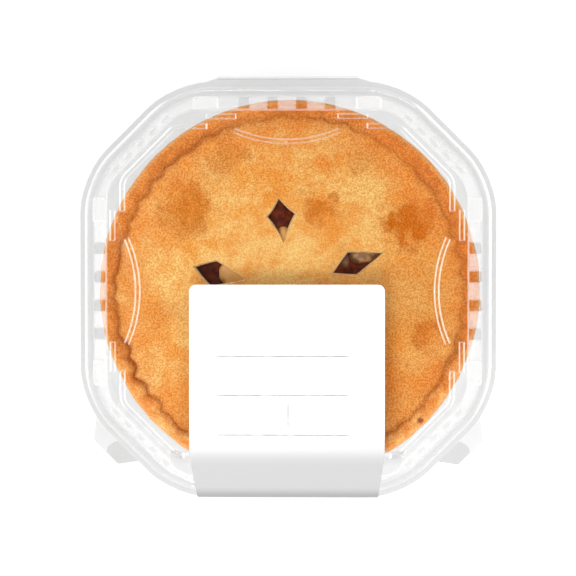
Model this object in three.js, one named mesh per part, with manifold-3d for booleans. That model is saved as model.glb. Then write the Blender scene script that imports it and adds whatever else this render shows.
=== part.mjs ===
// A double-crust apple pie in its foil tin, shut in a clear hinged clamshell
// pack with a paper label over the lid. Millimetres, +Z up, the hinge at +Y
// and the label's folded end at -Y.
import * as THREE from 'three';
import { mergeVertices } from 'three/addons/utils/BufferGeometryUtils.js';
import Module from 'manifold-3d';

// Pack
const WALL = 0.8;
const GAP = 0.3;
const RIM_HALF = 112;
const RIM_DIAGONAL = 122.6;
const RIM_CORNER = 47;
const RIM_INNER = 6.4;
const LID_Z = 31;
const LID_TOP = 57.3;
const TRAY_Z = LID_Z - GAP - WALL;

// Flat top of the lid and foot of the tray, as octagons
const LID_FACE = { half: 94.2, diagonal: 105.9, corner: 20 };
const TRAY_BEND = { half: 91, diagonal: 101.5, corner: 30 };
const TRAY_FOOT = { half: 88.5, diagonal: 99, corner: 28 };
const TRAY_BEND_Z = 2.6;
const EDGE_CHAMFER = 1.2;

// Ribs that stand out of the slanted walls
const RIB_WIDTH = 6.5;
const RIB_ROWS = [-22.4, -7.5, 7.5, 22.4];
const END_RIB_WIDTH = 13.5;
const END_RIB_ROWS = [-42.55, 42.55];
const CORNER_RIB_WIDTH = 6;
const CORNER_RIB_ROWS = [-18.6, -9.3, 0, 9.3, 18.6];

// Raised beads on the flat top
const BEAD_WIDTH = 2.9;
const BEAD_HEIGHT = 1.2;
const CORNER_BEAD = { half: 85.7, diagonal: 101.6, corner: 8, start: 41.5, frontStart: 54 };
const BAR_BEAD = { out: 90.8, from: 26.1, to: 42.3 };
const ARC_BEAD = { middle: 77.7, end: 83.6, halfChord: 27.5, width: 2.4 };

// Hinge, front tabs and label
const HINGE_REACH = 1.9;
const HINGE_TIP = 38.3;
const HINGE_BASE = 44;
const RECESS_HALF = 52.5;
const LABEL_HALF = 50.9;
const LABEL_TAPER = 2.4;
const LABEL_CORNER = 3.5;
const LABEL_BACK = 3.4;
const LABEL_THICK = 0.3;

// Pie
const PIE_X = 1;
const PIE_STEPS = 108;
const SCALLOPS = 36;
const CREASE_RADIUS = 88.5;
const CREASE_WAVE = 1.4;
const TIN_WALL = 0.6;
const FILLING_STEPS = 60;

const EIGHTH = Math.PI / 4;
const ARC_STEPS = 4;

const wasm = await Module();
wasm.setup();

// Joining and cutting closed solids

function solid(geometry) {
  const bare = geometry.clone();
  bare.deleteAttribute('normal');
  bare.deleteAttribute('uv');
  const merged = mergeVertices(bare, 1e-4);
  return new wasm.Manifold(new wasm.Mesh({
    numProp: 3,
    vertProperties: new Float32Array(merged.attributes.position.array),
    triVerts: new Uint32Array(merged.index.array),
  }));
}

function join(solids) {
  return solids.reduce((all, next) => all.add(next));
}

function geometryOf(manifold) {
  const mesh = manifold.getMesh();
  const indexed = new THREE.BufferGeometry();
  indexed.setAttribute('position', new THREE.BufferAttribute(mesh.vertProperties, 3));
  indexed.setIndex(new THREE.BufferAttribute(mesh.triVerts, 1));
  const geometry = indexed.toNonIndexed();
  geometry.computeVertexNormals();
  return geometry;
}

// Outlines and plain forms

// An octagon with rounded corners, counter-clockwise from the right side.
function octagon(half, diagonal, corner) {
  const points = [];
  for (let side = 0; side < 8; side += 1) {
    const [near, next] = side % 2 === 0 ? [half, diagonal] : [diagonal, half];
    const angle = side * EIGHTH;
    const out = near - corner;
    const along = (next - corner - out * Math.cos(EIGHTH)) / Math.sin(EIGHTH);
    const x = out * Math.cos(angle) - along * Math.sin(angle);
    const y = out * Math.sin(angle) + along * Math.cos(angle);
    for (let step = 0; step <= ARC_STEPS; step += 1) {
      const turn = angle + (EIGHTH * step) / ARC_STEPS;
      points.push([x + corner * Math.cos(turn), y + corner * Math.sin(turn)]);
    }
  }
  return points;
}

// The pack's rim outline, drawn in by a distance.
function rim(inset) {
  return octagon(RIM_HALF - inset, RIM_DIAGONAL - inset, RIM_CORNER - inset);
}

function face({ half, diagonal, corner }, inset) {
  return octagon(half - inset, diagonal - inset, corner - inset);
}

// Rings of equal point counts, each { outline, z }, from low to high with
// both ends closed, or joined last to first as a hoop.
function loft(rings, hoop = false) {
  const positions = [];
  const count = rings[0].outline.length;
  const point = (ring, i) => [...ring.outline[i % count], ring.z];
  const triangle = (a, b, c) => positions.push(...a, ...b, ...c);
  const last = hoop ? rings.length : rings.length - 1;
  for (let level = 0; level < last; level += 1) {
    const low = rings[level];
    const high = rings[(level + 1) % rings.length];
    for (let i = 0; i < count; i += 1) {
      triangle(point(low, i), point(low, i + 1), point(high, i + 1));
      triangle(point(low, i), point(high, i + 1), point(high, i));
    }
  }
  if (!hoop) {
    const foot = rings[0];
    const head = rings[rings.length - 1];
    for (let i = 1; i < count - 1; i += 1) {
      triangle(point(foot, 0), point(foot, i + 1), point(foot, i));
      triangle(point(head, 0), point(head, i), point(head, i + 1));
    }
  }
  const geometry = new THREE.BufferGeometry();
  geometry.setAttribute('position', new THREE.Float32BufferAttribute(positions, 3));
  return geometry;
}

// A hoop along the rim whose section is a loop of [inset, height] points.
function rimHoop(section, z) {
  return solid(loft(section.map(([inset, up]) => ({ outline: rim(inset), z: z + up })), true));
}

// A block whose side view is a profile of [distance out, height] points,
// centred at a place along the side that faces the angle.
function block(profile, width, along, angle) {
  const shape = new THREE.Shape(profile.map(([out, up]) => new THREE.Vector2(out, up)));
  const geometry = new THREE.ExtrudeGeometry(shape, { depth: width, bevelEnabled: false });
  geometry.rotateX(Math.PI / 2);
  geometry.translate(0, along + width / 2, 0);
  geometry.rotateZ(angle);
  return solid(geometry);
}

// A flat plate with the given outline.
function plate(outline, low, high) {
  const shape = new THREE.Shape(outline.map(([x, y]) => new THREE.Vector2(x, y)));
  const geometry = new THREE.ExtrudeGeometry(shape, { depth: high - low, bevelEnabled: false });
  geometry.translate(0, 0, low);
  return solid(geometry);
}

// Ribs on the straight sides that have them and on the four diagonals. Each
// profile is a function of the inset, so that the hollow keeps its wall.
function ribs(sides, sideProfile, cornerProfile, inset) {
  const made = [];
  for (const side of sides) {
    for (const along of RIB_ROWS) {
      made.push(block(sideProfile(inset), RIB_WIDTH - 2 * inset, along, side * EIGHTH));
    }
    for (const along of END_RIB_ROWS) {
      made.push(block(sideProfile(inset), END_RIB_WIDTH - 2 * inset, along, side * EIGHTH));
    }
  }
  for (const side of [1, 3, 5, 7]) {
    for (const along of CORNER_RIB_ROWS) {
      const width = CORNER_RIB_WIDTH - 2 * inset;
      made.push(block(cornerProfile(inset), width, along, side * EIGHTH));
    }
  }
  return join(made);
}

// Beads

// The outline of a band of even width along a centre line.
function band(line, width) {
  const left = [];
  const right = [];
  line.forEach(([x, y], i) => {
    const [x0, y0] = line[Math.max(i - 1, 0)];
    const [x1, y1] = line[Math.min(i + 1, line.length - 1)];
    const length = Math.hypot(x1 - x0, y1 - y0);
    const across = [(-(y1 - y0) / length) * (width / 2), ((x1 - x0) / length) * (width / 2)];
    left.push([x + across[0], y + across[1]]);
    right.push([x - across[0], y - across[1]]);
  });
  return [...left, ...right.reverse()];
}

function bead(line, width) {
  return plate(band(line, width), LID_TOP - WALL / 2, LID_TOP + BEAD_HEIGHT);
}

// The bent bead of one corner: a leg along each side and a run across the
// corner, cut out of the full bead line by where the legs start.
function cornerBead(turnX, turnY) {
  const { half, diagonal, corner, start, frontStart } = CORNER_BEAD;
  const firstCorner = octagon(half, diagonal, corner).slice(0, 2 * (ARC_STEPS + 1));
  const backStart = turnY < 0 ? frontStart : start;
  const line = [[half, start], ...firstCorner, [backStart, half]];
  return bead(line.map(([x, y]) => [x * turnX, y * turnY]), BEAD_WIDTH);
}

// A bead that bulges towards the middle of the top, on the side at an angle.
function arcBead(angle) {
  const { middle, end, halfChord, width } = ARC_BEAD;
  const rise = end - middle;
  const radius = (halfChord ** 2 + rise ** 2) / (2 * rise);
  const sweep = Math.asin(halfChord / radius);
  const steps = 8;
  const line = [];
  for (let i = 0; i <= steps; i += 1) {
    const turn = sweep * ((2 * i) / steps - 1);
    const out = middle + radius * (1 - Math.cos(turn));
    const along = radius * Math.sin(turn);
    line.push([
      out * Math.cos(angle) - along * Math.sin(angle),
      out * Math.sin(angle) + along * Math.cos(angle),
    ]);
  }
  return bead(line, width);
}

function barBead(side, sign) {
  const { out, from, to } = BAR_BEAD;
  const turn = new THREE.Matrix4().makeRotationZ(side * EIGHTH);
  const ends = [from, to].map((along) => {
    const end = new THREE.Vector3(out, along * sign, 0).applyMatrix4(turn);
    return [end.x, end.y];
  });
  return bead(ends, BEAD_WIDTH);
}

function beads() {
  const corners = [[1, 1], [-1, 1], [1, -1], [-1, -1]].map(([x, y]) => cornerBead(x, y));
  const arcs = [0, 2, 4].map((side) => arcBead(side * EIGHTH));
  const bars = [0, 2, 4].flatMap((side) => [barBead(side, 1), barBead(side, -1)]);
  return join([...corners, ...arcs, ...bars]);
}

// Flat parts that stand out of the rim

// A front corner tab: its outline is [along the corner's edge, distance out],
// with along growing towards the pack's side.
function frontTab(outline, side, low, high) {
  const placed = outline.map(([along, out]) => [
    (side * (out + along)) / Math.SQRT2,
    (along - out) / Math.SQRT2,
  ]);
  return plate(placed, low, high);
}

function hingeLeaf(low, high) {
  const root = RIM_HALF - 2;
  const edge = RIM_HALF + HINGE_REACH;
  return plate([
    [-HINGE_BASE, root],
    [HINGE_BASE, root],
    [HINGE_BASE, RIM_HALF],
    [HINGE_TIP, edge],
    [-HINGE_TIP, edge],
    [-HINGE_BASE, RIM_HALF],
  ], low, high);
}

// Lid

const lidRib = (inset) => [
  [80, LID_Z - 2 * inset],
  [103.4 - inset, LID_Z - 2 * inset],
  [101.6 - inset, LID_TOP - 1.6 - inset],
  [80, LID_TOP - 1.6 - inset],
];

const lidCornerRib = (inset) => [
  [95, LID_Z - 2 * inset],
  [115.2 - inset, LID_Z - 2 * inset],
  [110.4 - inset, LID_TOP - 5 - inset],
  [95, LID_TOP - 5 - inset],
];

// The dome's form, drawn in by a distance, with the sunk front panel that the
// label folds over cut away.
function lidForm(inset) {
  const low = inset > 0 ? [{ outline: rim(RIM_INNER + inset), z: LID_Z - 1 }] : [];
  const dome = solid(loft([
    ...low,
    { outline: rim(RIM_INNER + inset), z: LID_Z },
    { outline: face(LID_FACE, inset - 0.5), z: LID_TOP - EDGE_CHAMFER },
    { outline: face(LID_FACE, inset + 0.5), z: LID_TOP - inset },
  ]));
  const shift = inset * 0.9;
  const panel = [[82, 57.3], [90.5, 53.2], [98.6, 46], [104.7, 36]];
  const above = panel.map(([out, up]) => [out - shift, up - shift]);
  const recess = block([
    [80 - shift, 58.4 - shift],
    ...above,
    [125, 36 - shift],
    [125, 65],
    [80 - shift, 65],
  ], 2 * (RECESS_HALF + inset), 0, -2 * EIGHTH);
  return dome.add(ribs([0, 2, 4], lidRib, lidCornerRib, inset)).subtract(recess);
}

function lidSolid() {
  const flange = rimHoop([
    [0, 0], [0, 0.8], [2.2, 0.8], [2.9, 2.4], [4, 2.4], [4.7, 0.8],
    [6.9, 0.8], [6.9, 0], [4.4, 0], [3.9, 1.8], [3, 1.8], [2.5, 0],
  ], LID_Z);
  const tab = [
    [-8.6, 120.6], [-8.2, 122.4], [-1.6, 131.4], [7.6, 131.4], [9.2, 128], [8.4, 124.4], [5, 120.6],
  ];
  const tabs = [-1, 1].map((side) => frontTab(tab, side, LID_Z, LID_Z + WALL));
  const outer = join([lidForm(0), flange, hingeLeaf(LID_Z, LID_Z + WALL), beads(), ...tabs]);
  return outer.subtract(lidForm(WALL));
}

// Tray

const trayRib = (inset) => [
  [80, TRAY_BEND_Z + inset],
  [96.5 - inset, TRAY_BEND_Z + inset],
  [103.2 - inset, TRAY_Z - 2.5],
  [80, TRAY_Z - 2.5],
];

const trayCornerRib = (inset) => [
  [90, TRAY_BEND_Z + inset],
  [106 - inset, TRAY_BEND_Z + inset],
  [113 - inset, TRAY_Z - 3.5],
  [90, TRAY_Z - 3.5],
];

function trayForm(inset) {
  const high = inset > 0 ? [{ outline: rim(RIM_INNER + inset), z: TRAY_Z + 5 }] : [];
  const bowl = solid(loft([
    { outline: face(TRAY_FOOT, inset), z: inset },
    { outline: face(TRAY_BEND, inset), z: TRAY_BEND_Z },
    { outline: rim(RIM_INNER + inset), z: TRAY_Z + WALL },
    ...high,
  ]));
  return bowl.add(ribs([0, 2, 4, 6], trayRib, trayCornerRib, inset));
}

function traySolid() {
  const flange = rimHoop([
    [0, 0], [0, 0.8], [2.8, 0.8], [3.2, 2.3], [3.7, 2.3], [4.1, 0.8], [6.9, 0.8], [6.9, 0],
  ], TRAY_Z);
  const tab = [[-8.7, 120.6], [-8.7, 122], [-1.5, 131.6], [17, 131.6], [25.2, 121.4], [25.2, 120.6]];
  const tabs = [-1, 1].map((side) => frontTab(tab, side, TRAY_Z, TRAY_Z + WALL));
  const outer = join([trayForm(0), flange, hingeLeaf(TRAY_Z, TRAY_Z + WALL), ...tabs]);
  return outer.subtract(trayForm(WALL));
}

// Label: a strip that lies flat on the lid and bends down over the front.

// Distance down the label from its back edge as y, with the height of its
// underside, read off a smooth curve over the fold.
function labelPath() {
  const flat = [0, 1, 2.2, LABEL_CORNER].map((run) => [LABEL_BACK - run, LID_TOP + GAP]);
  const fold = new THREE.CatmullRomCurve3([
    [-77, LID_TOP + GAP], [-83.5, 57.1], [-91, 53.5], [-99, 46.5], [-106, 38.7], [-111.6, 32.4],
  ].map(([y, z]) => new THREE.Vector3(0, y, z)));
  return [...flat, ...fold.getPoints(14).map(({ y, z }) => [y, z])];
}

function labelSolid() {
  const path = labelPath();
  const foldStart = -83.5;
  const end = path[path.length - 1][0];
  const rings = path.map(([y, z], i) => {
    const [y0, z0] = path[Math.max(i - 1, 0)];
    const [y1, z1] = path[Math.min(i + 1, path.length - 1)];
    const length = Math.hypot(y1 - y0, z1 - z0);
    const up = { y: (z1 - z0) / length, z: -(y1 - y0) / length };
    const run = Math.min(LABEL_BACK - y, LABEL_CORNER);
    const short = LABEL_CORNER - Math.sqrt(LABEL_CORNER ** 2 - (LABEL_CORNER - run) ** 2);
    const taper = Math.max((foldStart - y) / (foldStart - end), 0) * LABEL_TAPER;
    const half = LABEL_HALF - short - taper;
    const top = [y + up.y * LABEL_THICK, z + up.z * LABEL_THICK];
    return [[-half, y, z], [half, y, z], [half, ...top], [-half, ...top]];
  });
  const positions = [];
  const quad = (a, b, c, d) => positions.push(...a, ...b, ...c, ...a, ...c, ...d);
  for (let i = 0; i < rings.length - 1; i += 1) {
    for (let k = 0; k < 4; k += 1) {
      const next = (k + 1) % 4;
      quad(rings[i][k], rings[i][next], rings[i + 1][next], rings[i + 1][k]);
    }
  }
  const last = rings[rings.length - 1];
  quad(rings[0][3], rings[0][2], rings[0][1], rings[0][0]);
  quad(...last);
  const geometry = new THREE.BufferGeometry();
  geometry.setAttribute('position', new THREE.Float32BufferAttribute(positions, 3));
  return solid(geometry);
}

// Pie

// Steam slits as four-pointed openings: the direction from the middle of the
// pie in degrees, the distances of the inner and outer tips, the distance of
// the widest place, and how far it opens to each side.
const VENTS = [
  { angle: 96.6, inner: 26, outer: 50.2, widest: 40.3, left: 7.6, right: 8.1 },
  { angle: 166, inner: 24.6, outer: 52.8, widest: 41.3, left: 8.4, right: 6.3 },
  { angle: 22, inner: 24.7, outer: 54.8, widest: 36.4, left: 8.1, right: 5.8 },
  { angle: 238, inner: 25.2, outer: 52, widest: 39, left: 7.4, right: 7.2 },
  { angle: 310, inner: 25.8, outer: 52.6, widest: 40, left: 7.8, right: 6.9 },
];

// Top of the crust from the middle to the outer edge, then its underside
// back to the middle, as [radius, height, share of the scalloped wave].
const CRUST_PROFILE = [
  [22, 45.3, 0], [42, 43.8, 0], [60, 41.2, 0], [74, 38, 0], [83, 35.7, 0.5],
  [CREASE_RADIUS, 34.6, 1], [92, 37.6, 0.7], [96.5, 38, 0.2], [100, 36.2, 0.4], [101.8, 33.4, 0.5],
  [101.3, 31.2, 0.3], [95, 31.1, 0], [84, 31.7, 0], [60, 37.5, 0], [22, 41.6, 0],
];
const CRUST_TOP = 45.7;
const CRUST_UNDER = 41.9;

// The scalloped dome with its rolled edge, as rings between two middle points.
function crustBody() {
  const positions = [];
  const triangle = (a, b, c) => positions.push(...a, ...b, ...c);
  const point = ([radius, z, share], i) => {
    const turn = ((i % PIE_STEPS) / PIE_STEPS) * 2 * Math.PI;
    const r = radius + share * CREASE_WAVE * Math.cos(SCALLOPS * turn);
    return [r * Math.cos(turn), r * Math.sin(turn), z];
  };
  const first = CRUST_PROFILE[0];
  const last = CRUST_PROFILE[CRUST_PROFILE.length - 1];
  for (let i = 0; i < PIE_STEPS; i += 1) {
    triangle([0, 0, CRUST_TOP], point(first, i), point(first, i + 1));
    triangle([0, 0, CRUST_UNDER], point(last, i + 1), point(last, i));
    for (let k = 0; k < CRUST_PROFILE.length - 1; k += 1) {
      const near = CRUST_PROFILE[k];
      const far = CRUST_PROFILE[k + 1];
      triangle(point(near, i), point(far, i), point(far, i + 1));
      triangle(point(near, i), point(far, i + 1), point(near, i + 1));
    }
  }
  const geometry = new THREE.BufferGeometry();
  geometry.setAttribute('position', new THREE.Float32BufferAttribute(positions, 3));
  return solid(geometry);
}

// One steam slit as an upright prism with gently bulging edges.
function ventPrism({ angle, inner, outer, widest, left, right }) {
  const bulge = 0.56;
  const shape = new THREE.Shape();
  shape.moveTo(inner, 0);
  shape.quadraticCurveTo(THREE.MathUtils.lerp(inner, widest, bulge), -right * bulge, widest, -right);
  shape.quadraticCurveTo(THREE.MathUtils.lerp(outer, widest, bulge), -right * bulge, outer, 0);
  shape.quadraticCurveTo(THREE.MathUtils.lerp(outer, widest, bulge), left * bulge, widest, left);
  shape.quadraticCurveTo(THREE.MathUtils.lerp(inner, widest, bulge), left * bulge, inner, 0);
  const geometry = new THREE.ExtrudeGeometry(shape, {
    depth: 20,
    bevelEnabled: false,
    curveSegments: 3,
  });
  geometry.translate(0, 0, 30);
  geometry.rotateZ(THREE.MathUtils.degToRad(angle));
  return solid(geometry);
}

function crustSolid() {
  return VENTS.map(ventPrism).reduce((crust, vent) => crust.subtract(vent), crustBody());
}

function turned(profile, steps) {
  const geometry = new THREE.LatheGeometry(
    profile.map(([radius, z]) => new THREE.Vector2(radius, z)),
    steps,
  );
  geometry.rotateX(Math.PI / 2);
  return solid(geometry);
}

function fillingSolid() {
  return turned([
    [0, 2.1], [75, 2.1], [92, 29], [92.6, 30.5], [84, 31.3], [60, 37.1], [22, 41.2], [0, 41.5],
  ], FILLING_STEPS);
}

function tinSolid() {
  const low = WALL + GAP;
  return turned([
    [0, low], [76, low], [94.4, 29.2], [99.8, 29.2], [100.6, 30], [99.8, 30.8],
    [94, 30.8], [75.6, low + TIN_WALL], [0, low + TIN_WALL],
  ], FILLING_STEPS);
}

// Finishes

function finish(color, roughness, metalness = 0, opacity = 1) {
  return new THREE.MeshStandardMaterial({
    color,
    roughness,
    metalness,
    opacity,
    transparent: opacity < 1,
  });
}

function named(name, manifold, material, x = 0) {
  const mesh = new THREE.Mesh(geometryOf(manifold), material);
  mesh.name = name;
  mesh.position.x = x;
  return mesh;
}

const pie = new THREE.Group();
pie.add(
  named('tray', traySolid(), finish(0xdfe4e6, 0.08, 0, 0.3)),
  named('tin', tinSolid(), finish(0xc8cacc, 0.3, 1), PIE_X),
  named('filling', fillingSolid(), finish(0x5a2f18, 0.25), PIE_X),
  named('crust', crustSolid(), finish(0xdf9f50, 0.75), PIE_X),
  named('lid', lidSolid(), finish(0xdfe4e6, 0.08, 0, 0.3)),
  named('label', labelSolid(), finish(0xf8f8f8, 0.6)),
);
pie.position.y = -HINGE_REACH / 2;

export default pie;
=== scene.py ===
"""A double-crust apple pie in a foil tin, shut in a clear hinged pack with a paper label.

Pieces are modelled at one unit a millimetre, with the pack's rim centred on the origin, and are
brought to metres in the CAD frame when they are finished.
"""

import math
from contextlib import contextmanager
from functools import partial

import bmesh
import bpy
from bpy.props import FloatProperty, FloatVectorProperty, PointerProperty
from mathutils import Matrix, Vector, noise


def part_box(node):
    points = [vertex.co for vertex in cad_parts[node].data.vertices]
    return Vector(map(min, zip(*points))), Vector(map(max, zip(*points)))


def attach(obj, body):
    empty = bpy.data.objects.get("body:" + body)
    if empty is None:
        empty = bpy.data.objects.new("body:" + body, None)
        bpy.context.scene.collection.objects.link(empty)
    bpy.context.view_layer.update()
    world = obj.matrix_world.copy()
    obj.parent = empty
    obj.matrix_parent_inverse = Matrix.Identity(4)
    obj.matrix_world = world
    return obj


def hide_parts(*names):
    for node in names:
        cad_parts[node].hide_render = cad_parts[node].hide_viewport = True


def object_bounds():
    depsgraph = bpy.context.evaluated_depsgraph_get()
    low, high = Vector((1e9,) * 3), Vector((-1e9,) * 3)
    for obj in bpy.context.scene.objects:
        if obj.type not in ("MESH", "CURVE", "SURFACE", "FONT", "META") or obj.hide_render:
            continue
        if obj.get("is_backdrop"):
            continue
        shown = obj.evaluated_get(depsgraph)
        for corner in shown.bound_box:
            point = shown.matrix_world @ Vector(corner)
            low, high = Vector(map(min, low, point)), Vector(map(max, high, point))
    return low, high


bl_info = {
    "name": "Packed apple pie",
    "version": (1, 0, 0),
    "blender": (4, 5, 0),
    "location": "View3D > Sidebar > Packed pie",
    "description": "Builds an apple pie in a clear hinged pack around its CAD frame",
    "category": "Object",
}

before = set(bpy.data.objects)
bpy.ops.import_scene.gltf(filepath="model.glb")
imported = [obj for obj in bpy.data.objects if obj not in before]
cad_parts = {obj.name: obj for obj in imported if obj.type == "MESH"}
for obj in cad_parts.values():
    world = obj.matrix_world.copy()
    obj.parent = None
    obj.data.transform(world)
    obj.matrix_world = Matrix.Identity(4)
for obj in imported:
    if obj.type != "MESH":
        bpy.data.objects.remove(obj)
CAD_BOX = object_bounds()

MM = 0.001
HINGE_EDGE = 113.9
PACK_SHIFT_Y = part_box("tray")[1].y - HINGE_EDGE * MM
PIE_X = 1.0
EIGHTH = math.pi / 4

# The pack's rim as a rounded octagon: half width, distance to a diagonal side, corner radius
RIM = (112.0, 122.6, 47.0)
LID_FACE = (94.2, 105.9, 20.0)
TRAY_BEND = (91.0, 101.5, 30.0)
TRAY_FOOT = (88.5, 99.0, 28.0)
LID_FLANGE_Z = 31.45
LID_TOP_Z = 57.3
TRAY_BEND_Z = 2.6
TRAY_FLANGE_Z = 30.2
FORM_DEPTH = 1.9
CORNER_STEPS = 6

# Sections of the beads that stiffen the flanges of lid and tray: distance in from the rim, height
FLANGE_BEAD = ((2.5, 0.02), (2.9, 0.34), (3.9, 1.2), (4.3, 1.35), (4.6, 1.1), (4.9, 0.04), (6.4, 0.06))
TRAY_FLANGE_BEAD = ((6.4, 0), (4.6, 0.02), (4.3, 1.2), (3.9, 1.22), (3.4, 0.02))
# Front corner tabs, as points along the edge and out from the middle
LID_TAB = ((-8.6, 118), (-8.2, 122.4), (-1.6, 131.4), (7.6, 131.4), (9.2, 128), (8.4, 124.4), (5, 118))
TRAY_TAB = ((-8.7, 118), (-8.7, 122), (-1.5, 131.6), (17, 131.6), (25.2, 121.4), (25.2, 118))
# Beads of the lid's top: height over all, height of the upright foot, width of the slope above it
# on the side that faces out and on the side that faces the middle
BEAD_HEIGHT = 1.0
BEAD_FOOT = 0.3
BEAD_OUT = 0.85
BEAD_IN = 0.66
# Slope of a bead's ends: width for each unit of height
END_SLOPE = BEAD_IN / (BEAD_HEIGHT - BEAD_FOOT)
BEAD_WIDTH = 3.2
# How far a bead is set into the lid's top before both are joined
BEAD_ROOT = 0.6
CORNER_BEAD = (85.7, 101.6, 8.0)
# Arc bead: distance of its middle, rise to its ends and half of its chord
ARC_BEAD = (77.7, 5.9, 27.5)

RIB_ROWS = (-22.4, -7.5, 7.5, 22.4)
END_RIB_ROWS = (-42.55, 42.55)
CORNER_RIB_ROWS = (-18.6, -9.3, 0.0, 9.3, 18.6)
RIB_WIDTH = 6.5
CORNER_RIB_WIDTH = 6.0
# How much wider the two end ribs of a side are
WIDE_RIB = 2.08
RIB_ROUND = 1.3
RIB_TOP_Z = 55.7
CORNER_RIB_TOP_Z = 52.3

# Recess for the label's bent panel: half its width and the height at its foot
RECESS_HALF = 53.5
RECESS_FOOT_Z = 36.0

# Roll of sheet on the hinge line
HINGE_ROLL_PLACE = (0, 114.1, 30.85)
HINGE_ROLL_LENGTH = 76.0

# Label: height of its flat part, its back edge, half width, corner radius, and the taper of each
# side from one place to another; its fold as (y, height)
LABEL_Z = 57.6
LABEL_BACK = 3.4
LABEL_HALF = 50.9
LABEL_CORNER = 3.5
LABEL_TAPER = 2.4
TAPER_START = -83.5
TAPER_END = -111.6
LABEL_FOLD = (
    (-76, LABEL_Z), (-83.5, 57.1), (-91, 53.3), (-99, 47.0), (-105, 41.6), (-109.4, 36.4), (-111.5, 31.9),
)

# Profiles turned round the pie's axis: (radius, height)
TIN_PROFILE = (
    (0, 0.5), (72, 0.5), (75, 0.7), (77, 2), (80, 7), (86, 16.3), (92, 25.6), (94.4, 29.2),
    (96, 29.5), (99.6, 29.3), (100.6, 29.7), (100.7, 30.3), (99.8, 30.8),
    (94, 30.8), (91, 26), (85, 16.7), (79, 7.3), (76, 2.2), (74, 1.1), (0, 1.1),
)
FILLING_PROFILE = (
    (0, 2.1), (73, 2.1), (76, 4.5), (91, 28.5), (91.6, 30.3), (84, 31.2), (72, 34.2),
    (60, 36.9), (48, 38.6), (36, 39.7), (22, 40.6), (10, 40.9), (0, 41.0),
)
CRUST_TOP = (
    (0, 45.7), (12, 45.6), (24, 45.2), (36, 44.4), (48, 43.1), (60, 41.2), (70, 39.4), (78, 37.9),
)
CRUST_EDGE = (
    (84, 36.9), (89, 36.3), (91.8, 35.8), (93.4, 35.2), (94.8, 36.1), (96.4, 37.1), (98.2, 37.6),
    (100.2, 37.2), (101.6, 35.2), (102.0, 33.3), (101.4, 31.6), (99.4, 31.1), (95, 31.2),
)
CRUST_UNDER = ((84, 31.8), (72, 34.8), (60, 37.5), (40, 40.2), (22, 41.6), (0, 41.9))
FLUTES = 60

# The pressed crease: its radius and its number of lobes
CREASE = 93.4
LOBES = 44
# Directions from the pie's middle, in radians
RIGHT, REAR, LEFT, FRONT = (quarter * math.pi / 2 for quarter in range(4))

# Steam slits: direction in degrees, inner tip, outer tip, widest place, reach to each side, and how
# full the edges are (0.55 is straight)
SLITS = (
    (96.6, 26.0, 50.2, 40.3, 7.6, 8.1, 0.4),
    (166.0, 24.6, 52.8, 41.3, 8.0, 6.3, 0.66),
    (22.0, 24.7, 54.8, 36.4, 7.8, 5.8, 0.6),
    (238.0, 25.2, 52.0, 39.0, 7.4, 7.2, 0.5),
    (310.0, 25.8, 52.6, 40.0, 7.8, 6.9, 0.55),
)
# Apple pieces below the slits: direction in degrees, distance, height, turn and size
APPLES = (
    (97, 27.5, 39.2, 96, 0.8), (166, 31.2, 40.2, 150, 0.95), (27.5, 45.5, 36.4, 12, 1.1),
    (30, 32.0, 36.6, 110, 0.8), (238, 38.0, 38.8, 60, 0.9), (310, 40.0, 38.6, 10, 0.9),
)

# Browner patches on the crust: place from the pie's middle, radius, strength
TOASTED = (
    (-56.0, 45.0, 20.0, 0.85),
    (-42.0, 68.0, 22.0, 0.3),
    (16.0, 45.0, 12.0, 0.75),
    (64.5, 36.5, 19.0, 1.0),
    (70.0, 66.0, 9.0, 0.5),
    (52.0, 78.0, 8.0, 0.5),
    (72.0, -22.0, 13.0, 0.7),
    (-33.0, 73.0, 13.0, 0.6),
    (40.0, 72.0, 15.0, 0.45),
    (-70.0, -12.0, 14.0, 0.4),
    (30.0, 12.0, 12.0, 0.35),
    (64.0, -6.0, 36.0, 0.35),
    (50.0, -48.0, 24.0, 0.25),
)


def linear(code):
    """An sRGB hex colour as linear RGBA."""
    channels = [int(code[i : i + 2], 16) / 255 for i in (0, 2, 4)]
    return (*(c / 12.92 if c <= 0.04045 else ((c + 0.055) / 1.055) ** 2.4 for c in channels), 1.0)


def colour(name, description, code):
    return FloatVectorProperty(
        name=name, description=description, subtype="COLOR", size=4, min=0, max=1, default=linear(code)
    )


def length(name, description, default):
    return FloatProperty(name=name, description=description, unit="LENGTH", default=default)


class PieSettings(bpy.types.PropertyGroup):
    """Sizes and colours of the pie itself."""

    relief: length("Crust relief", "Height of the gentle swells of the top crust", 0.0007)
    gold: colour("Gold", "Lightest baked crust", "e1b76f")
    amber: colour("Amber", "Ordinary baked crust", "da913e")
    toast: colour("Toast", "Browner patches of the crust", "bb6603")
    edge: colour("Edge", "Crust along the pressed edge", "d8833b")
    # The crease tone is painted shade: the crust is darkened where the pressed crease lies in shadow
    crease: colour("Crease", "Crust deep in the pressed crease", "a0541e")
    crumb: colour("Crumb", "Pale dough where a slit is cut", "f8e0ac")
    brown_crumb: colour("Brown crumb", "Browner specks of the cut dough", "d8b27c")
    syrup: colour("Syrup", "Spiced syrup round the fruit", "441404")
    thin_syrup: colour("Thin syrup", "Syrup where it is thin", "6a290a")
    fruit: colour("Fruit", "Cooked apple", "cc9a5a")
    soaked_fruit: colour("Soaked fruit", "Apple deep in the syrup", "5a3820")


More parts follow.
